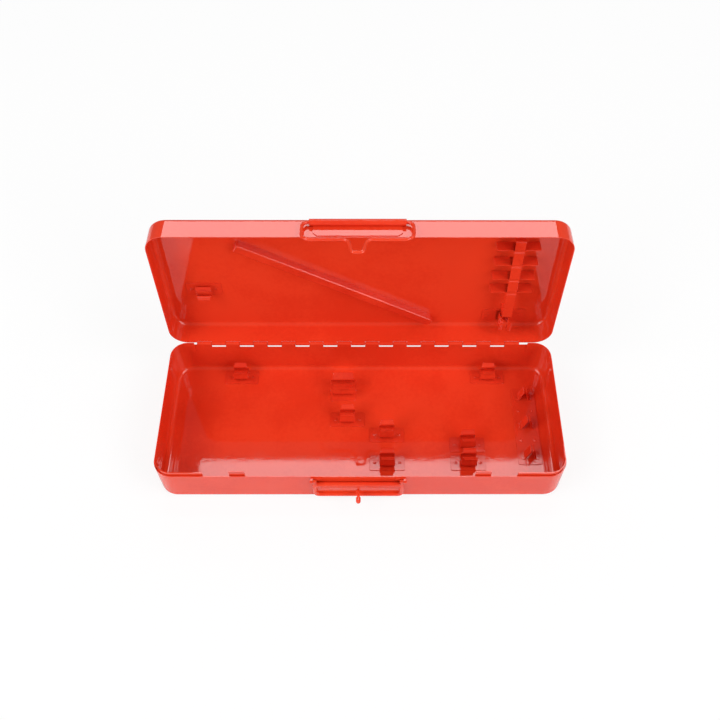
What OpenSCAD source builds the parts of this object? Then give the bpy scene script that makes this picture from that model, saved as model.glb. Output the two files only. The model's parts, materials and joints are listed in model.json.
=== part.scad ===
/* [Case] */
// Overall width of the case
case_w = 400; // [380:5:520]
// Front to back depth of the base and of the lid
case_d = 154; // [150:2:220]
// Height of the base wall
base_h = 44; // [42:1:60]
// Depth of the lid
lid_h = 26; // [24:0.5:45]
// Thickness of the sheet steel
sheet = 0.8; // [0.7:0.05:1]
// Outer corner radius seen from above
corner_r = 18; // [12:1:26]
// Outer radius of the bend between wall and floor
bend_r = 5; // [3:0.5:8]
// Angle of the open lid, 0 is closed
open_deg = 94; // [60:1:100]

/* [Rim] */
// Height of the inner lip above the base wall
lip_rise = 5; // [3:0.5:8]
// Depth of the inner lip below the edge of the base wall
lip_drop = 11; // [6:1:16]
// Gap between the inner lip and the closed lid
lip_gap = 0.6; // [0.4:0.1:1]
// Gap between the edges of the closed lid and the base
rim_gap = 0.3; // [0.2:0.1:0.6]
// Distance of the lip ends from the middle of the front
lip_front_x = 151; // [140:1:160]
// Distance of the locating tabs from the middle
tab_x = 118; // [90:1:125]
// Width of a locating tab
tab_w = 15; // [8:1:20]
// Height of a locating tab above the base wall
tab_rise = 8; // [4:0.5:9]

/* [Hinge] */
// Diameter of the hinge pin
pin_d = 2.5; // [2:0.1:3]
// Number of hinge knuckles, counted on base and lid together
knuckle_n = 23; // [15:2:23]
// Spacing of the knuckles
knuckle_pitch = 14.75; // [10:0.25:15]
// Gap between two knuckles
knuckle_gap = 0.4; // [0.3:0.1:0.8]
// Sideways place of the hinge
hinge_x = -3; // [-10:0.5:10]
// Distance of the hinge pin from the outside of the back wall
hinge_out = 1.2; // [1:0.1:1.6]
// Running clearance of a pin in its bore
fit = 0.05; // [0.03:0.01:0.08]
// Depth of the gaps in the base wall under the lid knuckles
notch_drop = 4.2; // [3:0.1:6]

/* [Latch] */
// Sideways place of the latch and the handle
latch_x = -2; // [-10:0.5:10]
// Width of the plate on the lid
plate_w = 83; // [60:1:90]
// Distance from the middle of a side of the wire to the end of the barrel
barrel_inset = 6.5; // [6:0.1:9]
// Outer diameter of the rolled barrel
barrel_d = 6.6; // [6:0.1:7]
// Height of the barrel above the edge of the lid
barrel_up = 16.2; // [14:0.2:18]
// Diameter of the wire
wire_d = 3.2; // [2.8:0.1:3.4]
// Width of the wire bail between the middles of its sides
bail_w = 103; // [102:0.5:110]
// Length of the wire bail from the barrel to its tip
bail_len = 44.3; // [43:0.1:46]
// Distance of the long run of the wire from the barrel
bail_run = 26; // [25:0.5:27]
// Half width of the neck where it leaves the long run
neck_x = 13.6; // [13:0.1:16]
// Bend radius of the lower corners of the wire
bail_corner_r = 9; // [6:0.5:12]
// Bend radius of the shoulders of the neck
shoulder_r = 6; // [4:0.5:7]
// Bend radius at the tip
tip_r = 2.6; // [2.2:0.1:3]
// Gap between latched parts
latch_gap = 0.3; // [0.2:0.05:0.4]

/* [Handle] */
// Width of the folding handle
grip_w = 89; // [80:1:89]
// Diameter of the rolled edge of the handle
bead_d = 4.6; // [4:0.1:5]
// Thickness of the handle plate
web_t = 1; // [0.8:0.1:1.2]
// Distance of the rolled edge from the front wall
bead_gap = 0.3; // [0.2:0.05:0.5]
// Height between the two rolled edges, middle to middle
grip_h = 21.5; // [18:0.5:22]
// Distance of the handle pivot below the edge of the base
pivot_drop = 4.5; // [4:0.1:5]
// Distance of the handle pivot from the front wall
pivot_out = 3.1; // [3:0.05:3.4]
// Distance from the handle pivot to the upper rolled edge
arm_len = 7; // [6.5:0.1:8]
// Thickness of a handle arm
arm_t = 2.4; // [1.6:0.1:3]
// Diameter of the round end of an arm
arm_d = 3.8; // [3.4:0.1:4]
// Thickness of a bracket ear
ear_t = 2; // [1.2:0.1:2.4]
// Diameter of the handle pins
handle_pin_d = 2.4; // [1.8:0.1:2.6]
// Side gap between a handle arm and its bracket
arm_gap = 0.4; // [0.3:0.1:0.8]
// Diameter of the neck of the catch stud
stud_neck_d = 2.8; // [2.4:0.1:3]
// Diameter of the head of the catch stud
stud_d = 4.6; // [4:0.1:5]
// Length of the straight part of the stud head
stud_head = 3.8; // [2:0.1:6]

/* [Clips] */
// Thickness of the clip steel
clip_t = 0.8; // [0.6:0.1:1]
// Width of the common clips
clip_w = 15; // [10:1:20]
// Height of the common clips
clip_h = 21; // [16:1:23]
// Height of the two clips by the back wall
rear_clip_h = 19; // [16:1:24]
// Opening between the jaws of the common clips
clip_gap = 8; // [6:0.5:10]
// Width of the foot under a clip
clip_foot_w = 36; // [30:1:38]
// Reach of the foot in front of and behind the jaws
clip_foot_edge = 3.7; // [2.5:0.1:4]
// Width of the large clip
large_clip_w = 25; // [18:1:30]
// Height of the large clip
large_clip_h = 21; // [16:1:24]
// Opening between the jaws of the large clip
large_clip_gap = 9; // [8:0.5:12]
// Depth of the foot under the large clip
large_foot_d = 26; // [22:1:28]
// Spacing of the clips in the row
row_pitch = 35; // [28:1:36]
// Width of the strip under the row
row_strip_w = 25; // [20:1:28]
// Height of the clips in the row
row_clip_h = 16; // [12:1:18]
// Opening between the jaws of a clip in the row, at the strip
row_clip_gap = 9; // [7:0.5:10]

/* [Lid fittings] */
// Width of the slanting rail
rail_w = 10; // [6:0.5:14]
// Height of the slanting rail
rail_h = 8; // [5:0.5:11]
// Height of the left clip in the lid
lid_clip_h = 10; // [8:0.5:14]
// Distance of the rack from the right end of the lid
rack_inset = 48; // [44:1:60]
// Width of a shelf of the rack
shelf_w = 42; // [24:1:46]
// Height of the edge of a shelf
shelf_edge = 12; // [1.5:0.1:12.5]
// Depth of the part of a shelf that lies on the lid
shelf_d = 8; // [5:0.5:10]
// Height of the strip in front of the shelves above the lid panel
spine_h = 12.7; // [8:0.1:15]
// Width of the strip in front of the shelves
spine_w = 10; // [8:0.5:14]

/* [Hidden] */
$fn = 48;
// Small overlap that joins shapes of one piece
bite = 0.1;
// Reach of a cutting shape past the piece
over = 5;
// Hinge
pin_r = pin_d / 2;
knuckle_r = pin_r + fit + sheet;
hinge_w = knuckle_n * knuckle_pitch;
hinge_y = case_d / 2 + hinge_out;
hinge_z = base_h;
pin_head_edge = 0.4;
pin_head_r = knuckle_r - pin_head_edge;
pin_head_t = 0.8;
pin_head_gap = 0.15;
pin_end_x = (hinge_w - knuckle_gap) / 2 + pin_head_gap;
knuckle_clear = 0.05;
// The sheet of the lid just clears the base's knuckles while it turns round them
lid_notch = sqrt(pow(knuckle_r + knuckle_clear, 2) - pow(hinge_out, 2));
// Rim
lip_in = sheet + lip_gap;
lip_end_gap = 3;
lip_back_x = hinge_w / 2 + abs(hinge_x) + lip_end_gap;
lip_joggle = 1;
// Latch
wire_r = wire_d / 2;
barrel_r = barrel_d / 2;
barrel_out = barrel_r + bite;
barrel_z = base_h + barrel_up;
bail_x = bail_w / 2;
barrel_w = bail_w - 2 * barrel_inset;
wire_lap = 0.3;
wire_step = 0.03;
bail_top_r = barrel_inset - latch_gap;
neck_deg = 78;
plate_chamfer = 4;
plate_edge = 1.2;
// Handle
bead_r = bead_d / 2;
bead_out = bead_gap + bead_r;
pivot_z = base_h - pivot_drop;
bead_top_z = pivot_z - arm_len;
bead_low_z = bead_top_z - grip_h;
bead_x = grip_w / 2 - bead_r;
web_out = 1;
arm_x = bead_x + bead_r / 2;
arm_r = arm_d / 2;
arm_cover = 1.3;
arm_front = pivot_out + arm_cover;
ear_x = arm_x + arm_gap;
ear_h = 4;
ear_foot_w = 8;
handle_pin_r = handle_pin_d / 2;
handle_head_t = 0.8;
handle_inner_head = 0.5;
handle_outer_head = 0.7;
// The wire leans outward just enough to clear the upper rolled edge of the handle
lean_down = barrel_z - bead_top_z;
lean_out = bead_out - barrel_out;
lean_gap = bead_r + wire_r + latch_gap;
bail_lean = atan2(lean_out, lean_down)
    + asin(lean_gap / sqrt(lean_down * lean_down + lean_out * lean_out));
// The stud sits right above the tip of the latched wire, and its head right before it
tip_z = barrel_z - bail_len * cos(bail_lean);
tip_out = barrel_out + bail_len * sin(bail_lean);
stud_neck_r = stud_neck_d / 2;
stud_r = stud_d / 2;
stud_z = tip_z + wire_r + latch_gap + stud_neck_r;
stud_head_out = tip_out + wire_r + latch_gap;
stud_tail_t = 0.5;
stud_tail_r = 2.2;
// Clips, each placed by its middle
common_foot_d = clip_gap + 2 * (clip_t + clip_foot_edge);
clip_tuck = 0.8;
clip_bulge = 1.4;
large_clip_bulge = 3;
clip_pinch = 1.85;
clip_flare = 2.2;
large_clip_flare = 5;
bulge_at = 0.35;
pinch_at = 0.82;
front_clip_y = -41;
left_clip_x = 27;
right_clip_inset = 90;
right_clip_x = case_w / 2 - right_clip_inset;
rear_left_inset = 70;
rear_clip_left_x = rear_left_inset - case_w / 2;
rear_right_inset = 63;
rear_clip_right_x = case_w / 2 - rear_right_inset;
rear_clip_y = case_d / 2 - 14;
mid_clip_left_y = -8.5;
mid_clip_right_y = -20;
small_clip_x = -14;
small_clip_y = 10;
large_clip_x = -19;
large_clip_y = 46;
row_n = 3;
row_inset = 26;
row_x = case_w / 2 - row_inset;
row_y = 2.5;
row_clip_w = 9;
row_clip_slit = 1.2;
row_foot_d = 18;
row_margin = 6;
// Lid fittings, each placed by x and by its distance from the hinge side
lid_left_inset = 40;
lid_clip_left = [lid_left_inset - case_w / 2, 57];
lid_right_inset = 49;
lid_clip_right = [case_w / 2 - lid_right_inset, 17];
lid_foot_w = 46;
lid_right_h = 18;
rail_from = [-121, 122];
rail_to = [74, 11];
rack_x = case_w / 2 - rack_inset;
rack_far = 137;
rack_near = 27;
shelf_at = [124, 104, 84, 65];
spine_foot = 8;
tongue_edge = 1;
paint = [0.87, 0.22, 0.12];

// Section of a tray wall, drawn from the centre of the corner outward
module wall_section(h) {
    translate([corner_r - sheet, bend_r]) square([sheet, h - bend_r]);
    square([corner_r - bend_r, sheet]);
    translate([corner_r - bend_r, bend_r]) intersection() {
        difference() {
            circle(bend_r);
            circle(bend_r - sheet);
        }
        translate([0, -bend_r]) square(bend_r);
    }
}

// One side of a ring of walls, drawn along its section from -len/2 to len/2
module along(len) {
    rotate([90, 0, 90]) linear_extrude(len, center = true) children();
}

// A section carried all round a rounded rectangle
module around() {
    side_w = case_w - 2 * corner_r;
    side_d = case_d - 2 * corner_r;
    for (turn = [0, 180]) rotate(turn) {
        translate([0, side_d / 2, 0]) along(side_w) children();
        translate([side_w / 2, 0, 0]) rotate(-90) along(side_d) children();
        translate([side_w / 2, side_d / 2, 0]) rotate_extrude(angle = 90) children();
        translate([-side_w / 2, side_d / 2, 0]) rotate(90) rotate_extrude(angle = 90) children();
    }
}

// A pressed tray with its outside floor at z = 0, open at the top
module tray(h) {
    around() wall_section(h);
    translate([corner_r - case_w / 2, corner_r - case_d / 2, 0])
        cube([case_w - 2 * corner_r, case_d - 2 * corner_r, sheet]);
}

// Middle of knuckle k along the hinge
function knuckle_x(k) = hinge_x + (k + 0.5) * knuckle_pitch - hinge_w / 2;

// Rolled knuckle k, not yet open for the pin
module knuckle(k) {
    translate([knuckle_x(k), hinge_y, hinge_z]) rotate([0, 90, 0])
        cylinder(r = knuckle_r, h = knuckle_pitch - knuckle_gap, center = true);
}

// Space for the pin, with wider ends for its heads
module pin_space(bore_r) {
    translate([hinge_x, hinge_y, hinge_z]) rotate([0, 90, 0]) {
        cylinder(r = bore_r, h = hinge_w, center = true);
        for (side = [-1, 1])
            translate([0, 0, side * (pin_end_x + pin_head_t / 2)])
                cylinder(r = pin_head_r + pin_head_gap, h = pin_head_t + 2 * pin_head_gap, center = true);
    }
}

// Space in the back wall for the knuckle of the other half
module knuckle_space(k, from_z, to_z) {
    translate([knuckle_x(k) - knuckle_pitch / 2, case_d / 2 - sheet - over, from_z])
        cube([knuckle_pitch, sheet + over + hinge_out + over, to_z - from_z]);
}

// Lid parts are drawn closed and turned open about the hinge pin
module opened() {
    translate([0, hinge_y, hinge_z]) rotate([-open_deg, 0, 0])
        translate([0, -hinge_y, -hinge_z]) children();
}

// Where the sheet of knuckle k leaves the wall, a strip of it lies beside the knuckle
module knuckle_root(k, from_z) {
    translate([knuckle_x(k) - (knuckle_pitch - knuckle_gap) / 2, case_d / 2 - sheet, from_z])
        cube([knuckle_pitch - knuckle_gap, sheet, sheet]);
}

module base_tray() {
    color(paint) difference() {
        union() {
            difference() {
                tray(base_h);
                for (k = [1:2:knuckle_n - 2])
                    knuckle_space(k, base_h - notch_drop, base_h + over);
            }
            for (k = [0:2:knuckle_n - 1]) {
                knuckle(k);
                knuckle_root(k, base_h - sheet);
            }
        }
        pin_space(pin_r);
    }
}

module lid_shell() {
    color(paint) opened() difference() {
        union() {
            difference() {
                translate([0, 0, base_h + lid_h]) mirror([0, 0, 1]) tray(lid_h - rim_gap);
                for (k = [0:2:knuckle_n - 1])
                    knuckle_space(k, base_h - over, base_h + lid_notch);
            }
            for (k = [1:2:knuckle_n - 2]) {
                knuckle(k);
                knuckle_root(k, base_h);
            }
        }
        pin_space(pin_r + fit);
    }
}

module hinge_pin() {
    color(paint) translate([hinge_x, hinge_y, hinge_z]) rotate([0, 90, 0]) {
        cylinder(r = pin_r, h = 2 * pin_end_x + bite, center = true);
        for (side = [-1, 1])
            translate([0, 0, side * (pin_end_x + pin_head_t / 2)])
                cylinder(r = pin_head_r, h = pin_head_t, center = true);
    }
}

// Section of a locating tab: its foot lies on the wall, its edge stands clear of the lid
module lip_section(rise) {
    foot_z = base_h - lip_drop;
    translate([corner_r - 2 * sheet, foot_z])
        square([sheet, lip_drop - lip_joggle]);
    translate([corner_r - lip_in - sheet, base_h - lip_joggle - sheet])
        square([sheet, rise + lip_joggle + sheet]);
}

// Outline of the case, seen from above, set in by a distance
module outline(inset) {
    for (x = [-1, 1], y = [-1, 1])
        translate([x * (case_w / 2 - corner_r), y * (case_d / 2 - corner_r)])
            circle(corner_r - inset);
    square([case_w - 2 * corner_r, case_d - 2 * inset], center = true);
    square([case_w - 2 * inset, case_d - 2 * corner_r], center = true);
}

// A strip of sheet round one end of the case, from the front to the hinge
module end_strip(inset, low, high) {
    translate([0, 0, low]) linear_extrude(high - low) intersection() {
        difference() {
            outline(inset);
            outline(inset + sheet);
        }
        union() {
            translate([lip_front_x, -case_d / 2]) square([case_w, case_d / 2]);
            translate([lip_back_x, -bite]) square([case_w, case_d]);
        }
    }
}

// The lip of one end of the case: a foot on the wall and an edge that stands clear of the lid
module lip_strip() {
    color(paint) {
        end_strip(sheet, base_h - lip_drop, base_h - lip_joggle);
        end_strip(lip_in, base_h - lip_joggle - sheet, base_h + lip_rise);
    }
}

module lip_strip_left() {
    mirror([1, 0, 0]) lip_strip();
}

module lip_strip_right() {
    lip_strip();
}

module front_tab(side) {
    color(paint) mirror([0, 1, 0])
        translate([side * tab_x, case_d / 2 - corner_r, 0]) along(tab_w) lip_section(tab_rise);
}

module latch_plate() {
    bottom_z = base_h + rim_gap + plate_edge;
    color(paint) opened() translate([latch_x, 0, 0]) difference() {
        union() {
            translate([0, -case_d / 2, 0]) rotate([90, 0, 0]) linear_extrude(sheet)
                polygon([
                    [-plate_w / 2, barrel_z], [plate_w / 2, barrel_z],
                    [plate_w / 2, bottom_z + plate_chamfer],
                    [plate_w / 2 - plate_chamfer, bottom_z],
                    [plate_chamfer - plate_w / 2, bottom_z],
                    [-plate_w / 2, bottom_z + plate_chamfer]
                ]);
            translate([0, -case_d / 2 - barrel_out, barrel_z]) rotate([0, 90, 0])
                cylinder(r = barrel_r, h = barrel_w, center = true);
        }
        translate([0, -case_d / 2 - barrel_out, barrel_z]) rotate([0, 90, 0])
            cylinder(r = wire_r + fit, h = barrel_w + over, center = true);
    }
}

// Straight wire between two points of the plane, lapping into the bends at its ends
module wire_rod(from, to) {
    step = to - from;
    translate([from[0], from[1], 0]) rotate(atan2(step[1], step[0])) rotate([0, 90, 0])
        translate([0, 0, -wire_lap])
            cylinder(r = wire_r - wire_step, h = norm(step) + 2 * wire_lap);
}

// Bent wire in the plane
module wire_arc(centre, radius, from_deg, to_deg) {
    translate([centre[0], centre[1], 0]) rotate(from_deg)
        rotate_extrude(angle = to_deg - from_deg) translate([radius, 0]) circle(wire_r);
}

// The closed wire loop, turned by its barrel run and hanging outward by the latched lean
module latch_bail() {
    drop = (shoulder_r + tip_r) * (1 - cos(neck_deg));
    slope = (bail_len - bail_run - drop) / sin(neck_deg);
    shoulder_end = [neck_x - shoulder_r * sin(neck_deg),
        -bail_run - shoulder_r * (1 - cos(neck_deg))];
    tip_start = shoulder_end + slope * [-cos(neck_deg), -sin(neck_deg)];
    tip_x = tip_start[0] - tip_r * sin(neck_deg);
    color(paint) opened() translate([latch_x, -case_d / 2 - barrel_out, barrel_z])
        rotate([90 - bail_lean, 0, 0]) {
            wire_rod([bail_top_r - bail_x, 0], [bail_x - bail_top_r, 0]);
            wire_rod([-tip_x, -bail_len], [tip_x, -bail_len]);
            for (side = [0, 1]) mirror([side, 0, 0]) {
                wire_arc([bail_x - bail_top_r, -bail_top_r], bail_top_r, 0, 90);
                wire_rod([bail_x, -bail_top_r], [bail_x, bail_corner_r - bail_run]);
                wire_arc([bail_x - bail_corner_r, bail_corner_r - bail_run], bail_corner_r, -90, 0);
                wire_rod([bail_x - bail_corner_r, -bail_run], [neck_x, -bail_run]);
                wire_arc([neck_x, -bail_run - shoulder_r], shoulder_r, 90, 90 + neck_deg);
                wire_rod(shoulder_end, tip_start);
                wire_arc([tip_x, tip_r - bail_len], tip_r, -90, neck_deg - 90);
            }
        }
}

// Handle parts are placed from the middle of the front wall, with y as height
module on_front() {
    translate([latch_x, -case_d / 2, 0]) rotate([90, 0, 0]) children();
}

module handle_bracket(side) {
    color(paint) on_front() mirror([side > 0 ? 0 : 1, 0, 0]) difference() {
        union() {
            translate([ear_x, 0, 0]) rotate([90, 0, 90]) linear_extrude(ear_t) {
                translate([pivot_z, pivot_out]) circle(arm_r);
                translate([pivot_z - arm_r, 0]) square([arm_d, pivot_out]);
            }
            translate([ear_x + ear_t - ear_foot_w - ear_t, pivot_z - ear_h / 2, 0])
                cube([ear_foot_w + ear_t, ear_h, sheet]);
        }
        translate([ear_x - over, pivot_z, pivot_out]) rotate([0, 90, 0])
            cylinder(r = handle_pin_r, h = ear_t + 2 * over);
    }
}

module handle_pin(side) {
    inner_x = arm_x - arm_t - handle_head_t - arm_gap / 2;
    outer_x = ear_x + ear_t;
    color(paint) on_front() mirror([side > 0 ? 0 : 1, 0, 0])
        translate([inner_x, pivot_z, pivot_out]) rotate([0, 90, 0]) {
            cylinder(r = handle_pin_r, h = outer_x - inner_x + bite);
            cylinder(r = handle_pin_r + handle_inner_head, h = handle_head_t);
            translate([0, 0, outer_x - inner_x])
                cylinder(r = handle_pin_r + handle_outer_head, h = handle_head_t);
        }
}

// Rolled edge between two corners of the handle
module bead(from, to) {
    step = to - from;
    translate([from[0], from[1], bead_out]) {
        sphere(bead_r);
        rotate(atan2(step[1], step[0])) rotate([0, 90, 0])
            cylinder(r = bead_r, h = norm(step));
    }
}

module handle_grip() {
    corners = [[bead_x, bead_top_z], [-bead_x, bead_top_z],
        [-bead_x, bead_low_z], [bead_x, bead_low_z]];
    color(paint) on_front() difference() {
        union() {
            for (i = [0:3]) bead(corners[i], corners[(i + 1) % 4]);
            translate([-bead_x, bead_low_z, web_out]) cube([2 * bead_x, grip_h, web_t]);
            for (side = [0, 1]) mirror([side, 0, 0])
                translate([arm_x - arm_t, 0, 0]) rotate([90, 0, 90]) linear_extrude(arm_t) {
                    translate([pivot_z, pivot_out]) circle(arm_r);
                    translate([bead_top_z, pivot_out - arm_r + bite])
                        square([arm_len, arm_front - pivot_out + arm_r - bite]);
                }
        }
        translate([-case_w / 2, pivot_z, pivot_out]) rotate([0, 90, 0])
            cylinder(r = handle_pin_r + fit, h = case_w);
        translate([0, stud_z, -over]) cylinder(r = stud_neck_r, h = web_out + web_t + 2 * over);
    }
}

module catch_stud() {
    color(paint) on_front() translate([0, stud_z, 0]) {
        translate([0, 0, web_out - stud_tail_t]) cylinder(r = stud_tail_r, h = stud_tail_t);
        translate([0, 0, web_out - bite]) cylinder(r = stud_neck_r, h = stud_head_out - web_out + 2 * bite);
        translate([0, 0, stud_head_out]) cylinder(r = stud_r, h = stud_head);
        translate([0, 0, stud_head_out + stud_head]) sphere(stud_r);
    }
}

// A bent strip of clip steel through a list of points
module bent_strip(points) {
    half = [clip_t / 2, 0];
    polygon(concat(
        [for (p = points) p + half],
        [for (i = [len(points) - 1:-1:0]) points[i] - half]
    ));
}

// Two sprung jaws over a foot; a rod is pushed down between them and lies along x
module jaws(w, h, gap, bulge = clip_bulge, flare = clip_flare) {
    side = (gap + clip_t) / 2;
    rotate([90, 0, 90]) linear_extrude(w, center = true) for (turn = [0, 1]) mirror([turn, 0])
        bent_strip([
            [side - clip_tuck, 0],
            [side + bulge, h * bulge_at],
            [side - clip_pinch, h * pinch_at],
            [side + flare, h]
        ]);
}

module clip_foot(foot_w, foot_d) {
    translate([-foot_w / 2, -foot_d / 2, 0]) cube([foot_w, foot_d, clip_t]);
}

module spring_clip(w, h) {
    jaws(w, h, clip_gap);
    clip_foot(clip_foot_w, common_foot_d);
}

// Base fittings stand on the floor of the base
module on_floor(x, y) {
    color(paint) translate([x, y, sheet]) children();
}

module common_clip(x, y) {
    on_floor(x, y) spring_clip(clip_w, clip_h);
}

module rear_clip(x) {
    on_floor(x, rear_clip_y) spring_clip(clip_w, rear_clip_h);
}

module clip_large() {
    on_floor(large_clip_x, large_clip_y) {
        jaws(large_clip_w, large_clip_h, large_clip_gap, large_clip_bulge, large_clip_flare);
        clip_foot(large_clip_w + 2 * clip_t, large_foot_d);
    }
}

module clip_row_strip() {
    row_d = (row_n - 1) * row_pitch + row_clip_w + 2 * row_margin;
    on_floor(row_x, row_y) translate([-row_strip_w / 2, -row_d / 2, 0])
        cube([row_strip_w, row_d, clip_t]);
}

// Clip number i of the row, counted from the back: two jaws that lean together like a tent
module row_clip(i) {
    on_floor(row_x, row_y + ((row_n - 1) / 2 - i) * row_pitch) translate([0, 0, clip_t]) {
        clip_foot(row_foot_d, row_clip_w);
        rotate([90, 0, 0]) linear_extrude(row_clip_w, center = true) for (turn = [0, 1])
            mirror([turn, 0]) bent_strip([
                [(row_clip_gap + clip_t) / 2, 0],
                [(row_clip_slit + clip_t) / 2, row_clip_h]
            ]);
    }
}

// Lid fittings stand on the inside of the lid panel, at x and at a distance from the hinge side
module on_lid(at) {
    color(paint) opened() translate([at[0], case_d / 2 - at[1], base_h + lid_h - sheet])
        mirror([0, 0, 1]) children();
}

module lid_clip_left() {
    on_lid(lid_clip_left) spring_clip(clip_w, lid_clip_h);
}

// The right clip stands below the rack and is turned a quarter on its foot
module lid_clip_right() {
    on_lid(lid_clip_right) {
        rotate(90) jaws(clip_w, lid_right_h, clip_gap);
        clip_foot(lid_foot_w, common_foot_d);
    }
}

module rail_outline(w, length) {
    translate([0, -w / 2]) square([length - w / 2, w]);
    translate([length - w / 2, 0]) circle(w / 2);
}

module lid_rail() {
    step = [rail_to[0] - rail_from[0], rail_from[1] - rail_to[1]];
    length = norm(step);
    on_lid(rail_from) rotate(atan2(step[1], step[0])) difference() {
        linear_extrude(rail_h) rail_outline(rail_w, length);
        translate([sheet, 0, -sheet]) linear_extrude(rail_h)
            rail_outline(rail_w - 2 * sheet, length - 2 * sheet);
    }
}

// The strip of the rack, which stands on two bent legs in front of the shelves
module rack_spine() {
    spine_l = rack_far - rack_near;
    on_lid([rack_x, (rack_far + rack_near) / 2]) translate([-spine_w / 2, 0, 0]) {
        translate([0, -spine_l / 2, spine_h]) cube([spine_w, spine_l, sheet]);
        for (end = [0, 1]) mirror([0, end, 0]) {
            translate([0, spine_l / 2 - sheet, 0]) cube([spine_w, sheet, spine_h + sheet]);
            translate([0, spine_l / 2 - spine_foot, 0]) cube([spine_w, spine_foot, sheet]);
        }
    }
}

// Shelf i of the rack: a strip on the lid with a low edge, and a tongue up to the spine
module rack_shelf(i) {
    tongue_w = spine_w - 2 * tongue_edge;
    on_lid([rack_x, shelf_at[i]]) {
        translate([-shelf_w / 2, 0, 0]) cube([shelf_w, shelf_d, sheet]);
        translate([-shelf_w / 2, 0, 0]) cube([shelf_w, sheet, shelf_edge]);
        translate([-tongue_w / 2, 0, 0]) cube([tongue_w, sheet, spine_h]);
    }
}

base_tray();
lip_strip_left();
lip_strip_right();
front_tab(-1);  // front_tab_left
front_tab(1);  // front_tab_right
lid_shell();
hinge_pin();
latch_plate();
latch_bail();
handle_bracket(-1);  // handle_bracket_left
handle_bracket(1);  // handle_bracket_right
handle_pin(-1);  // handle_pin_left
handle_pin(1);  // handle_pin_right
handle_grip();
catch_stud();
rear_clip(rear_clip_left_x);  // clip_rear_left
rear_clip(rear_clip_right_x);  // clip_rear_right
clip_large();
common_clip(small_clip_x, small_clip_y);  // clip_small
common_clip(left_clip_x, mid_clip_left_y);  // clip_mid_left
common_clip(right_clip_x, mid_clip_right_y);  // clip_mid_right
common_clip(left_clip_x, front_clip_y);  // clip_front_left
common_clip(right_clip_x, front_clip_y);  // clip_front_right
clip_row_strip();
row_clip(0);  // row_clip_back
row_clip(1);  // row_clip_middle
row_clip(2);  // row_clip_front
lid_clip_left();
lid_clip_right();
lid_rail();
rack_spine();
rack_shelf(0);  // rack_shelf_1
rack_shelf(1);  // rack_shelf_2
rack_shelf(2);  // rack_shelf_3
rack_shelf(3);  // rack_shelf_4
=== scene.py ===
# %% [markdown]
# # A red steel case for bits and small tools
# The case is two shallow trays pressed from thin sheet steel and painted together after assembly.
# A long knuckle hinge joins them at the back, and a wire loop on the lid catches a stud on the folding
# handle.
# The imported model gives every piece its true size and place, so this script adds what the eye looks for:
# rounded sheet edges, springy clips, the gloss of thick enamel, and the studio round it.

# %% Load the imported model
import json
import math

import bpy
from mathutils import Matrix, Vector


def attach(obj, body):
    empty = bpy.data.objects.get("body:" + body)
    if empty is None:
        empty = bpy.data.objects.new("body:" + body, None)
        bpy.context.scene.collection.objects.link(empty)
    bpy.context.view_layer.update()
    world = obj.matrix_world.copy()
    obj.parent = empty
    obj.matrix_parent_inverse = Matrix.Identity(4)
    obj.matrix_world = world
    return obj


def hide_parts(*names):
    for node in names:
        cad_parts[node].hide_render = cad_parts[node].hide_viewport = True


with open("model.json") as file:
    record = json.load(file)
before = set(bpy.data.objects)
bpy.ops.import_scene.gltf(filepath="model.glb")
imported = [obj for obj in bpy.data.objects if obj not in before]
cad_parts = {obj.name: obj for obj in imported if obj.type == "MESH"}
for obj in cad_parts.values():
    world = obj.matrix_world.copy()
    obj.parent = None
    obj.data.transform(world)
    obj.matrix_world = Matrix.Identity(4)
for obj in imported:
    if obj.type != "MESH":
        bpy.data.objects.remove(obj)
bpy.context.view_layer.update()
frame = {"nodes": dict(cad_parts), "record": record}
nodes = frame["nodes"]

# %% [markdown]
# ## Enamel
# The whole case is sprayed with one thick coat of orange-red enamel. Real enamel isn't perfectly even:
# it pulls into a faint skin like the peel of an orange, its colour drifts a little where it lies thicker,
# and fine dust dulls the shine in places. A plain red shader would look like plastic, and a picture of paint
# would have to be unwrapped over every clip. Noise on Object coordinates needs no unwrapping and keeps
# one scale over all pieces, so it is used here. A small class lets the shader maths read as plain sums.

# %% Shader maths as expressions
class Value:
    """A shader socket that adds and multiplies like a number."""

    def __init__(self, finish, socket):
        self.finish = finish
        self.socket = socket

    def math(self, operation, first, second):
        return self.finish.node("ShaderNodeMath", {"operation": operation}, {0: first, 1: second})

    def __add__(self, other):
        return self.math("ADD", self, other)

    def __radd__(self, other):
        return self.math("ADD", other, self)

    def __mul__(self, other):
        return self.math("MULTIPLY", self, other)

    def __rmul__(self, other):
        return self.math("MULTIPLY", other, self)


class Finish:
    """A material that is built up node by node."""

    def __init__(self, name):
        self.material = bpy.data.materials.new(name)
        self.material.use_nodes = True
        self.tree = self.material.node_tree
        self.tree.nodes.clear()

    def node(self, kind, settings=None, sockets=None, out=0):
        made = self.tree.nodes.new(kind)
        for key, setting in (settings or {}).items():
            setattr(made, key, setting)
        for key, given in (sockets or {}).items():
            if isinstance(given, Value):
                self.tree.links.new(given.socket, made.inputs[key])
            else:
                made.inputs[key].default_value = given
        return Value(self, made.outputs[out]) if made.outputs else None

    def noise(self, scale, detail, roughness=0.5):
        """Soft noise with about scale patches to the metre."""
        place = self.node("ShaderNodeTexCoord", out="Object")
        return self.node("ShaderNodeTexNoise", {"noise_dimensions": "3D"},
                         {"Vector": place, "Scale": scale, "Detail": detail, "Roughness": roughness})

    def between(self, amount, low, high):
        """amount, eased from 0 at low to 1 at high."""
        return self.node("ShaderNodeMapRange", {"interpolation_type": "SMOOTHSTEP"},
                         {"Value": amount, "From Min": low, "From Max": high})

    def mix(self, amount, first, second):
        """The colour first where amount is 0, and second where it is 1."""
        return self.node("ShaderNodeMix", {"data_type": "RGBA"}, {0: amount, 6: first, 7: second}, out=2)

    def done(self, shader):
        self.node("ShaderNodeOutputMaterial", sockets={"Surface": shader})
        return self.material


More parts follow.
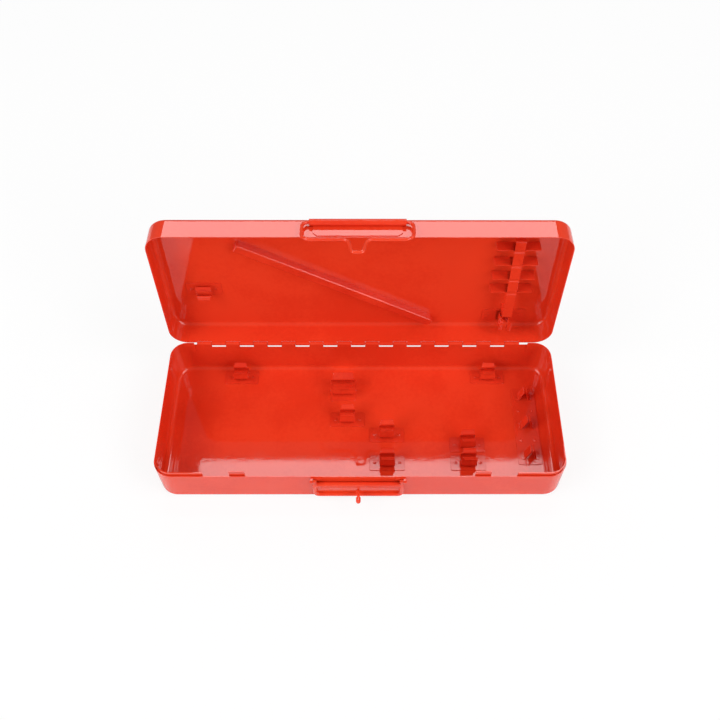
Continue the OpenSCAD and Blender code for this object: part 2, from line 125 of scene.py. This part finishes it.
def linear(red, green, blue):
    """A colour of the usual 0 to 255 kind as the shader's linear colour."""
    def one(level):
        level /= 255
        return level / 12.92 if level <= 0.04045 else ((level + 0.055) / 1.055) ** 2.4
    return (one(red), one(green), one(blue), 1.0)


print("shader helpers ready")

# %% [markdown]
# The paint has three scales of detail: cloudy patches as wide as a hand, mottling of a few millimetres,
# and the peel at two to five millimetres. The clips and the lid's fittings get a darker enamel than the
# case: painted shade for the shade they stand in. The handle and the wire are rubbed by hands, so they
# shine less evenly.

# %% Make the enamels
CLOUDS, DUST, MOTTLES, SWELLS, PEEL, SPECKS = 14.0, 45.0, 260.0, 210.0, 620.0, 1500.0


def enamel(name, body, deep, peel, shine, dust):
    """Glossy enamel that drifts from the colour body to the colour deep.

    peel is the depth of the skin in metres, shine the least roughness, and dust how far that rises.
    """
    coat = Finish(name)
    cloud = coat.noise(CLOUDS, 3.0)
    mottle = coat.noise(MOTTLES, 2.0)
    depth = coat.between(cloud * 0.75 + mottle * 0.25, 0.42, 0.62)
    colour = coat.mix(depth, body, deep)
    dull = coat.between(coat.noise(DUST, 4.0, 0.62), 0.48, 0.72)
    specks = coat.between(coat.noise(SPECKS, 1.0), 0.70, 0.78)
    roughness = shine + dust * dull + 0.10 * specks
    skin = coat.noise(PEEL, 1.5) * 0.7 + coat.noise(SWELLS, 1.0) * 0.9
    bump = coat.node("ShaderNodeBump", sockets={"Strength": 1.0, "Distance": peel, "Height": skin})
    paint = coat.node("ShaderNodeBsdfPrincipled", sockets={
        "Base Color": colour, "Roughness": roughness, "IOR": 1.5, "Normal": bump})
    return coat.done(paint)


case_paint = enamel("case_enamel", linear(230, 62, 33), linear(224, 55, 28), 0.00001, 0.02, 0.03)
# Darker than the case's enamel: painted shade for the clips and the lid's fittings.
clip_paint = enamel("clip_enamel_painted_shade", linear(226, 58, 32), linear(214, 48, 26), 0.000012, 0.05, 0.05)
hand_paint = enamel("handle_enamel", linear(233, 64, 32), linear(226, 55, 27), 0.000012, 0.04, 0.06)
slot_paint = {"case_paint": case_paint, "clip_paint": clip_paint, "wire_paint": hand_paint}
for part in frame["record"]["subparts"]:
    piece = nodes[part["node"]]
    piece.data.materials.clear()
    piece.data.materials.append(slot_paint[part["material_slot"]])
print("painted", len(nodes), "pieces with", len(slot_paint), "enamels")

# %% [markdown]
# ## Shaping tools
# Nearly everything inside this case is a bent strip: a flat blank folded round a former. The strips are
# made the same way here. A narrow face is extruded edge by edge along a side view, so its width can
# change on the way, and thickness and rounded edges come last. Every piece is shaped lying flat at the
# origin and is then carried to its place, so one clip can be copied to five places.

# %% Shaping tools
MM = 0.001
CASE_D, BASE_H, LID_H, SHEET = 154.0, 44.0, 26.0, 0.8
HALF_SHEET = SHEET / 2
HINGE_OUT, OPEN_ANGLE = 1.2, 94
HINGE_Y = CASE_D / 2 + HINGE_OUT
OPENED = (Matrix.Translation((0, HINGE_Y * MM, BASE_H * MM))
          @ Matrix.Rotation(math.radians(-OPEN_ANGLE), 4, "X")
          @ Matrix.Translation((0, -HINGE_Y * MM, -BASE_H * MM)))
LID_INSIDE = (OPENED @ Matrix.Translation((0, CASE_D / 2 * MM, (BASE_H + LID_H - SHEET) * MM))
              @ Matrix.Rotation(math.pi, 4, "X"))


def on_floor(x, y, up=SHEET, turn=0.0):
    """The place of a piece that stands on the floor of the base."""
    return Matrix.Translation((x * MM, y * MM, up * MM)) @ Matrix.Rotation(math.radians(turn), 4, "Z")


def on_lid(x, s, turn=0.0):
    """The place of a piece on the inside of the lid, s away from the hinge side."""
    return LID_INSIDE @ Matrix.Translation((x * MM, s * MM, 0)) @ Matrix.Rotation(math.radians(turn), 4, "Z")


def alone(piece):
    bpy.ops.object.select_all(action="DESELECT")
    piece.select_set(True)
    bpy.context.view_layer.objects.active = piece


def settle(piece, place):
    """Carries a finished piece to its place and leaves its object at the origin."""
    alone(piece)
    piece.matrix_world = place
    bpy.ops.object.transform_apply(location=True, rotation=True, scale=True)
    return piece


def apply(piece, kind, **settings):
    alone(piece)
    change = piece.modifiers.new(kind.lower(), kind)
    for key, value in settings.items():
        setattr(change, key, value)
    bpy.ops.object.modifier_apply(modifier=change.name)


def edit(piece, mode, wanted):
    """Opens a piece for editing with only the wanted vertices or faces picked."""
    alone(piece)
    mesh = piece.data
    for kind in (mesh.vertices, mesh.edges, mesh.polygons):
        kind.foreach_set("select", [False] * len(kind))
    if mode == "VERT":
        for vertex in mesh.vertices:
            vertex.select = wanted(vertex.co / MM)
    else:
        for face in mesh.polygons:
            face.select = wanted(face.center / MM)
    bpy.ops.object.mode_set(mode="EDIT")
    bpy.ops.mesh.select_mode(type=mode)


def leave():
    bpy.ops.object.mode_set(mode="OBJECT")


def leave_outward():
    """Turns every face outwards and leaves the editing."""
    bpy.ops.mesh.select_all(action="SELECT")
    bpy.ops.mesh.normals_make_consistent(inside=False)
    leave()


def blank(name, width, depth, shift=0.0):
    """A flat rectangle at the origin, left open for editing. shift moves it along x, in its own widths."""
    bpy.ops.object.select_all(action="DESELECT")
    bpy.ops.mesh.primitive_plane_add(size=1, location=(0, 0, 0))
    piece = bpy.context.active_object
    piece.name = name
    bpy.ops.object.mode_set(mode="EDIT")
    bpy.ops.mesh.select_all(action="SELECT")
    bpy.ops.transform.translate(value=(shift, 0, 0))
    bpy.ops.transform.resize(value=(width * MM, depth * MM, 1), center_override=(0, 0, 0))
    return piece


def pull(*step):
    """Extrudes what is picked by a step in metres."""
    bpy.ops.mesh.extrude_region_move(TRANSFORM_OT_translate={"value": step})


def join(name, parts):
    bpy.ops.object.select_all(action="DESELECT")
    for part in parts:
        part.select_set(True)
    bpy.context.view_layer.objects.active = parts[0]
    if len(parts) > 1:
        bpy.ops.object.join()
    parts[0].name = name
    parts[0].data.name = name
    return parts[0]


def soften(piece, width):
    """Rounds the sharp edges a little and shades the rest smooth."""
    apply(piece, "BEVEL", width=width * MM, segments=2, limit_method="ANGLE",
          angle_limit=math.radians(35), use_clamp_overlap=True)
    return smooth(piece)


def smooth(piece):
    """Shades round parts smooth and keeps flat faces flat."""
    alone(piece)
    bpy.ops.object.shade_smooth_by_angle(angle=math.radians(50))
    apply(piece, "WEIGHTED_NORMAL", keep_sharp=True)
    return piece


def curve_through(points, steps):
    """A smooth line through points, each piece of it cut into steps."""
    line = []
    last = len(points) - 1
    for i in range(last):
        nearby = [min(max(k, 0), last) for k in range(i - 1, i + 3)]
        before, start, end, after = (Vector(points[k]) for k in nearby)
        bend = 2 * before - 5 * start + 4 * end - after
        swing = 3 * start - 3 * end + after - before
        for step in range(steps):
            t = step / steps
            line.append(0.5 * (2 * start + (end - before) * t + bend * t * t + swing * t ** 3))
    line.append(Vector(points[-1]))
    return line


def rounded(points, radius, steps):
    """The same corners, each cut back and rounded."""
    line = [Vector(points[0])]
    for before, corner, after in zip(points, points[1:], points[2:]):
        before, corner, after = Vector(before), Vector(corner), Vector(after)
        cut = min(radius, (before - corner).length / 2.2, (after - corner).length / 2.2)
        start = corner + (before - corner).normalized() * cut
        end = corner + (after - corner).normalized() * cut
        for step in range(steps + 1):
            t = step / steps
            line.append(start * (1 - t) ** 2 + corner * 2 * t * (1 - t) + end * t * t)
    line.append(Vector(points[-1]))
    return line


def strip(name, line, widths, edge=0.2):
    """A strip as wide as widths, bent along a line in the y-z plane. Sizes are in millimetres."""
    first = line[1] - line[0]
    near = first.length * 0.3
    piece = blank(name, widths[0], first.length)
    leave()
    middle = (line[0] + line[1]) / 2
    slope = math.atan2(first[1], first[0])
    settle(piece, Matrix.Translation((0, middle[0] * MM, middle[1] * MM)) @ Matrix.Rotation(slope, 4, "X"))
    edit(piece, "VERT", lambda co: (co - Vector((co[0], *line[1]))).length < near)
    for here, there, old, new in zip(line[1:], line[2:], widths[1:], widths[2:]):
        step = (there - here) * MM
        pull(0, step[0], step[1])
        if abs(new - old) > 1e-6:
            bpy.ops.transform.resize(value=(new / old, 1, 1), center_override=(0, 0, 0))
    leave_outward()
    apply(piece, "SOLIDIFY", thickness=SHEET * MM, offset=0.0, use_even_offset=True)
    return soften(piece, edge)


def plate(name, width, depth, thick, corner, edge=0.2):
    """A flat plate with rounded corners, standing on z = 0."""
    piece = blank(name, width, depth)
    bpy.ops.mesh.bevel(offset=corner * MM, segments=5, affect="VERTICES")
    bpy.ops.mesh.select_all(action="SELECT")
    pull(0, 0, thick * MM)
    leave_outward()
    return soften(piece, edge)


WELD_RISE = 0.16


def weld(x, y, up, size=1.7):
    """The low round swelling that a spot weld leaves. WELD_RISE is its height as a share of its radius."""
    bpy.ops.object.select_all(action="DESELECT")
    bpy.ops.mesh.primitive_uv_sphere_add(segments=20, ring_count=10, radius=size * MM,
                                         location=(x * MM, y * MM, up * MM))
    spot = bpy.context.active_object
    bpy.ops.object.mode_set(mode="EDIT")
    bpy.ops.transform.resize(value=(1, 1, WELD_RISE), center_override=(x * MM, y * MM, up * MM))
    leave()
    bpy.ops.object.shade_smooth()
    bpy.ops.object.transform_apply(location=True, rotation=True, scale=True)
    return spot


def show(piece, body, slot, *stands_for):
    piece.data.materials.clear()
    piece.data.materials.append(slot_paint[slot])
    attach(piece, body)
    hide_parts(*stands_for)


print("shaping tools ready")

# %% [markdown]
# ## Spring clips
# A clip is a U of spring steel that is spot-welded to a wider foot. Its jaws bulge, pinch together near the
# top and flare out at the lips, so that a handle snaps in when it is pushed down. The jaws taper towards the
# lips, which keeps them springy. Drawing the whole U as one ribbon keeps the bends even; boolean cuts would
# leave sharp inner corners that no bent strip has.

# %% Bend the clips
# How far the neck draws in, how far the jaws tuck under, and the radii of the bend and of the foot's corners.
PINCH, TUCK, FOOT_BEND, FOOT_CORNER = 1.85, 1.4, 1.2, 1.6
BELLY, LEAST_STEP, JAW_EDGE = 0.42, 0.05, 0.18


def clip(name, width, height, gap, foot_w, foot_d, bulge=1.4, flare=2.2, welds=True):
    """A clip on its foot. gap is the space between its jaws there, and bulge and flare widen it above."""
    side = (gap + SHEET) / 2
    low = SHEET + HALF_SHEET
    jaw = [(side + flare, height), (side + 0.35 * flare, 0.93 * height), (side - PINCH, 0.82 * height),
           (side + bulge, 0.38 * height), (side - SHEET, low + TUCK)]
    half = curve_through(jaw, 4)
    heel = half[-1]
    sole = [heel, (side - TUCK, low), (TUCK - side, low), (-heel[0], heel[1])]
    whole = half[:-1] + rounded(sole, FOOT_BEND, 3)
    whole += [Vector((-point[0], point[1])) for point in reversed(half[:-1])]
    line = [whole[0]]
    for point in whole[1:]:
        if (point - line[-1]).length > LEAST_STEP:
            line.append(point)
    widths = [width * (1.08 - 0.8 * (point[1] / height - BELLY) ** 2) for point in line]
    parts = [strip(name + "_jaws", line, widths, JAW_EDGE)]
    parts.append(plate(name + "_foot", foot_w, foot_d, SHEET, FOOT_CORNER))
    if welds:
        reach = (width + foot_w) / 4
        parts += [weld(x, 0, SHEET) for x in (-reach, reach)]
        parts += [weld(x, 0, low + HALF_SHEET, 1.4) for x in (-width / 4, width / 4)]
    return join(name, parts)


def copied(piece, name):
    twin = piece.copy()
    twin.data = piece.data.copy()
    twin.name = name
    twin.data.name = name
    bpy.context.scene.collection.objects.link(twin)
    return twin


CLIP_W, CLIP_GAP = 15, 8
FOOT = 36, 17
common = clip("spring_clip", CLIP_W, 21, CLIP_GAP, *FOOT)
places = {"clip_small": (-14, 10), "clip_mid_left": (27, -8.5), "clip_mid_right": (110, -20),
          "clip_front_left": (27, -41), "clip_front_right": (110, -41)}
for node, (x, y) in places.items():
    show(settle(copied(common, node + "_formed"), on_floor(x, y)), "base", "clip_paint", node)
right_lid = clip("right_lid_clip", CLIP_W, 18, CLIP_GAP, CLIP_W, 17, welds=False)
base_plate = plate("right_lid_foot", 46, 17, SHEET, FOOT_CORNER)
settle(right_lid, Matrix.Rotation(math.pi / 2, 4, "Z"))
right_lid = join("clip_lid_right_formed", [right_lid, base_plate, weld(-16, 0, SHEET), weld(16, 0, SHEET)])
show(settle(right_lid, on_lid(151, 17)), "lid", "clip_paint", "lid_clip_right")
rear = clip("rear_clip", CLIP_W, 19, CLIP_GAP, *FOOT)
for node, x in (("clip_rear_left", -130), ("clip_rear_right", 137)):
    show(settle(copied(rear, node + "_formed"), on_floor(x, 63)), "base", "clip_paint", node)
large = clip("clip_large_formed", 25, 21, 9, 26.6, 26, bulge=3.0, flare=5.0)
show(settle(large, on_floor(-19, 46)), "base", "clip_paint", "clip_large")
left_lid = clip("clip_lid_left_formed", CLIP_W, 10, CLIP_GAP, *FOOT)
show(settle(left_lid, on_lid(-160, 57)), "lid", "clip_paint", "lid_clip_left")
for finished in (common, rear):
    bpy.data.objects.remove(finished)
print("spring clips in place")

# %% [markdown]
# Three lower clips stand in a row on one long strip at the right. Their jaws lean together like a tent, so
# that a rod can lie under all three from front to back. Each jaw is one strip whose foot turns outward for
# the weld. One clip is made and copied to three places, in equal steps along the strip.

# %% The row of clips
ROW_X, ROW_Y, ROW_STEP = 174, 2.5, 35
bar = plate("row_strip", 25, 91, SHEET, 2.2)
spots = [weld(x, y, SHEET) for x in (-7, 7) for y in (-ROW_STEP / 2, ROW_STEP / 2)]
bar = join("row_strip_formed", [bar] + spots)
show(settle(bar, on_floor(ROW_X, ROW_Y)), "base", "clip_paint", "clip_row_strip")
leaning = rounded([(1.7, 15.9), (1.0, 15.0), (4.8, 1.6), (5.6, 0.42), (9.0, 0.42)], 0.9, 3)
jaw_widths = [7.6 + 1.4 * min(1, (16 - point[1]) / 8) for point in leaning]
tent = []
for turn in (0, math.pi):
    jaw = strip("tent_jaw", leaning, jaw_widths, JAW_EDGE)
    tent.append(settle(jaw, Matrix.Rotation(turn, 4, "Z")))
tent = join("row_clip", tent + [weld(x, y, SHEET, 1.0) for x in (-2, 2) for y in (-7.2, 7.2)])
for i, node in enumerate(("row_clip_back", "row_clip_middle", "row_clip_front")):
    place = on_floor(ROW_X, ROW_Y + ROW_STEP * (1 - i), 2 * SHEET, 90)
    show(settle(copied(tent, node + "_formed"), place), "base", "clip_paint", node)
bpy.data.objects.remove(tent)
print("row of clips in place")

# %% [markdown]
# ## Lid fittings
# A slanting rail and a small rack hold tools against the lid. The rail is a channel pressed
# from strip with one round end, and its top edges are well rounded. The rack is a narrow band standing on
# two bent legs, with four shelves behind it. Each shelf is bent from one strip: a narrow foot lies on the
# lid, a ledge stands out from it, and a tongue in the middle of the ledge reaches up to the band.

# %% Rail
RAIL_W, RAIL_H = 10, 8
start, end = Vector((-121, 122)), Vector((74, 11))
rail = blank("rail", (end - start).length, RAIL_W, shift=0.5)
leave()
edit(rail, "VERT", lambda co: co[0] > 1)
bpy.ops.mesh.bevel(offset=4.9 * MM, segments=8, affect="VERTICES")
leave()
edit(rail, "VERT", lambda co: co[0] < 1)
bpy.ops.mesh.bevel(offset=1.5 * MM, segments=3, affect="VERTICES")
leave()
edit(rail, "FACE", lambda centre: True)
pull(0, 0, RAIL_H * MM)
bpy.ops.mesh.bevel(offset=1.6 * MM, segments=4, affect="EDGES")
leave_outward()
rail = join("rail_formed", [smooth(rail)])
slant = math.degrees(math.atan2(end[1] - start[1], end[0] - start[0]))
show(settle(rail, on_lid(start[0], start[1], slant)), "lid", "clip_paint", "lid_rail")
print("rail in place, slanting", round(slant, 1), "degrees")

# %% Rack
SHELF_PLACES = (124, 104, 84, 65)
RACK_X, RACK_S, RACK_LONG, LEG_FOOT = 152, 82, 110, 8
BAND_W, BAND_UP, BAND_DIP = 10.0, 13.1, 12.6
reach = RACK_LONG / 2
bends = [(LEG_FOOT - reach, HALF_SHEET), (HALF_SHEET - reach, HALF_SHEET), (HALF_SHEET - reach, BAND_UP)]
for s in reversed(SHELF_PLACES):
    y = s - RACK_S
    bends += [(y - 2.6, BAND_UP), (y - 1.6, BAND_DIP), (y + 0.8, BAND_DIP), (y + 1.8, BAND_UP)]
bends += [(reach - HALF_SHEET, BAND_UP), (reach - HALF_SHEET, HALF_SHEET), (reach - LEG_FOOT, HALF_SHEET)]
bent = rounded(bends, 1.1, 3)
spine = strip("rack_spine_formed", bent, [BAND_W] * len(bent))
show(settle(spine, on_lid(RACK_X, RACK_S)), "lid", "clip_paint", "rack_spine")

SHELF_W, SHELF_FOOT, SHELF_TAPER = 42, 8, 1.5
foot = plate("shelf", SHELF_W, SHELF_FOOT, SHEET, 1.5)
settle(foot, Matrix.Translation((0, -SHELF_FOOT / 2 * MM, 0)))
ledge_line, tongue_line = ([Vector((-HALF_SHEET, up)) for up in rises]
                           for rises in ((0.3, 6, 11.2, 12), (0.3, 6, 12.4)))
ledge = strip("shelf_edge", ledge_line, [SHELF_W] * 3 + [SHELF_W - SHELF_TAPER], JAW_EDGE)
tongue = strip("shelf_tongue", tongue_line, [12, 8, 8], JAW_EDGE)
spots = [weld(x, -4.5, SHEET, 1.4) for x in (-13, 13)]
shelf = join("shelf_formed", [foot, ledge, tongue] + spots)
for i, s in enumerate(SHELF_PLACES):
    node = "rack_shelf_%d" % (i + 1)
    show(settle(copied(shelf, node + "_formed"), on_lid(RACK_X, s)), "lid", "clip_paint", node)
bpy.data.objects.remove(shelf)
print("rack in place with", len(SHELF_PLACES), "shelves")

# %% [markdown]
# ## Folding handle
# The handle is a pressed panel whose rim is rolled into a bead, so that it doesn't cut the hand. The bead is
# made by turning the rounded outline of the panel into a curve with a round section. One low rib stiffens
# the panel, and two short flat arms reach back to the pivots.

# %% Roll the handle
LATCH_X, FRONT_Y = -2.0, -CASE_D / 2
half_w, top_z, low_z = 42.2, 32.5, 11.0
BEAD_R, CORNER_R = 2.3, 4.0
bead = blank("bead", 2 * half_w, top_z - low_z)
bpy.ops.mesh.bevel(offset=CORNER_R * MM, segments=6, affect="VERTICES")
bpy.ops.mesh.select_all(action="SELECT")
bpy.ops.mesh.delete(type="ONLY_FACE")
leave()
alone(bead)
bpy.ops.object.convert(target="CURVE")
bead.data.bevel_depth = BEAD_R * MM
bead.data.bevel_resolution = 6
bead.data.use_fill_caps = True
bpy.ops.object.convert(target="MESH")
bead = bpy.context.active_object
bpy.ops.object.mode_set(mode="EDIT")
leave_outward()
bpy.ops.object.shade_smooth()
settle(bead, Matrix.Translation((0, 0, 2.6 * MM)))

panel = plate("handle_panel", 2 * half_w, top_z - low_z, 1.0, CORNER_R, 0.1)
settle(panel, Matrix.Translation((0, 0, 1.0 * MM)))
rib = plate("handle_rib", 72, 4.4, 0.9, 1.5, 0.7)
settle(rib, Matrix.Translation((0, 2.4 * MM, 1.9 * MM)))
on_edge = Matrix.Rotation(math.pi / 2, 4, "Y")
arms = []
for x in (-43.35, 40.95):
    arm = plate("handle_arm", 3.2, 10.4, 2.4, 1.5, 0.3)
    arms.append(settle(arm, Matrix.Translation((x * MM, 14.45 * MM, 2.8 * MM)) @ on_edge))
grip = join("handle_rolled", [bead, panel, rib] + arms)
upright = (Matrix.Translation((LATCH_X * MM, FRONT_Y * MM, (top_z + low_z) / 2 * MM))
           @ Matrix.Rotation(math.pi / 2, 4, "X"))
settle(grip, upright)
show(grip, "handle", "wire_paint", "handle_grip")
print("handle in place")

# %% [markdown]
# ## Studio
# The case was photographed on white, from the front and well above. The lens position comes from
# fitting the case's own corners and hinge to the picture.

# %% Camera
pitch = math.radians(56.26)
yaw = math.radians(-0.37)
roll = math.radians(0.31)
turn = Matrix.Rotation(yaw, 3, "Z")
right = turn @ Vector((1, 0, 0))
up = turn @ Vector((0, math.sin(pitch), math.cos(pitch)))
back = turn @ Vector((0, -math.cos(pitch), math.sin(pitch)))
side = math.cos(roll) * right + math.sin(roll) * up
top = math.cos(roll) * up - math.sin(roll) * right
camera = bpy.data.objects.new("camera", bpy.data.cameras.new("camera"))
bpy.context.scene.collection.objects.link(camera)
camera.matrix_world = Matrix((side, top, back)).transposed().to_4x4()
camera.location = (0.00719, -0.43325, 0.78230)
camera.data.sensor_width = 36
camera.data.lens = 42.37
camera.data.shift_x = -0.0150
camera.data.shift_y = -0.0030
camera.data.clip_start = 0.01
camera.data.clip_end = 50
bpy.context.scene.camera = camera
print("camera at", tuple(round(v, 3) for v in camera.location))

# %% [markdown]
# The background of the photo is pure white, but a floor lit that brightly would wash out the enamel. So the
# floor mostly glows by itself where the camera sees it, and is plain and matte to the rest of the light. The
# sky does the same: white to the camera and dim to the case, so that the shadows between the clips stay deep.

# %% Floor and sky
GLOW_SHARE, SKY_STRENGTH = 0.85, 0.19
bpy.context.scene.view_settings.view_transform = "Standard"
bpy.ops.object.select_all(action="DESELECT")
bpy.ops.mesh.primitive_plane_add(size=12, location=(0, 0, -0.0002))
floor = bpy.context.active_object
floor.name = "floor"
ground = Finish("floor_white")
matte = ground.node("ShaderNodeBsdfDiffuse", sockets={"Color": (0.9, 0.9, 0.9, 1)})
glow = ground.node("ShaderNodeEmission", sockets={"Color": (1, 1, 1, 1), "Strength": 1.0})
seen = ground.node("ShaderNodeLightPath", out="Is Camera Ray")
floor.data.materials.append(ground.done(
    ground.node("ShaderNodeMixShader", sockets={0: seen * GLOW_SHARE, 1: matte, 2: glow})))

world = bpy.data.worlds.new("studio")
bpy.context.scene.world = world
world.use_nodes = True
air = world.node_tree
air.nodes.clear()
sky, white = (air.nodes.new("ShaderNodeBackground") for _ in range(2))
for light, strength in ((sky, SKY_STRENGTH), (white, 1.0)):
    light.inputs["Color"].default_value = (1, 1, 1, 1)
    light.inputs["Strength"].default_value = strength
path = air.nodes.new("ShaderNodeLightPath")
choose = air.nodes.new("ShaderNodeMixShader")
last = air.nodes.new("ShaderNodeOutputWorld")
air.links.new(path.outputs["Is Camera Ray"], choose.inputs[0])
air.links.new(sky.outputs[0], choose.inputs[1])
air.links.new(white.outputs[0], choose.inputs[2])
air.links.new(choose.outputs[0], last.inputs["Surface"])
print("floor and sky ready")

# %% [markdown]
# Thick enamel mirrors the lamps, and that decides where they hang. A long thin box high behind the case is
# mirrored as the pale streak along the front of the tray's floor. A wide one further back lights the rims
# from behind. A lamp straight in front or overhead would show as a pink line in the lip of every clip, so
# the rest of the light comes in two pairs from the sides, which the lips don't mirror to the camera.

# %% Lamps
def lamp(name, place, aim, width, height, power):
    """A soft box at place that faces aim. Sizes are in metres and power is in watts."""
    data = bpy.data.lights.new(name, "AREA")
    data.shape = "RECTANGLE"
    data.size = width
    data.size_y = height
    data.energy = power
    made = bpy.data.objects.new(name, data)
    bpy.context.scene.collection.objects.link(made)
    made.location = place
    made.rotation_euler = (Vector(aim) - Vector(place)).to_track_quat("-Z", "Y").to_euler()


lamp("mirror", (0.07, 0.87, 2.0), (0.07, 0.8701, 0), 1.35, 0.21, 4.9)
lamp("behind", (0, 2.6, 2.26), (0, 0.1, 0.2), 2.3, 0.5, 17.4)
for side_x, hand in ((-1, "left"), (1, "right")):
    lamp("front_" + hand, (1.9 * side_x, -1.5, 1.3), (0, 0.05, 0.12), 1.2, 1.5, 27.7)
    lamp("high_" + hand, (1.6 * side_x, -0.4, 2.0), (0, 0, 0.05), 1.0, 1.2, 19.1)
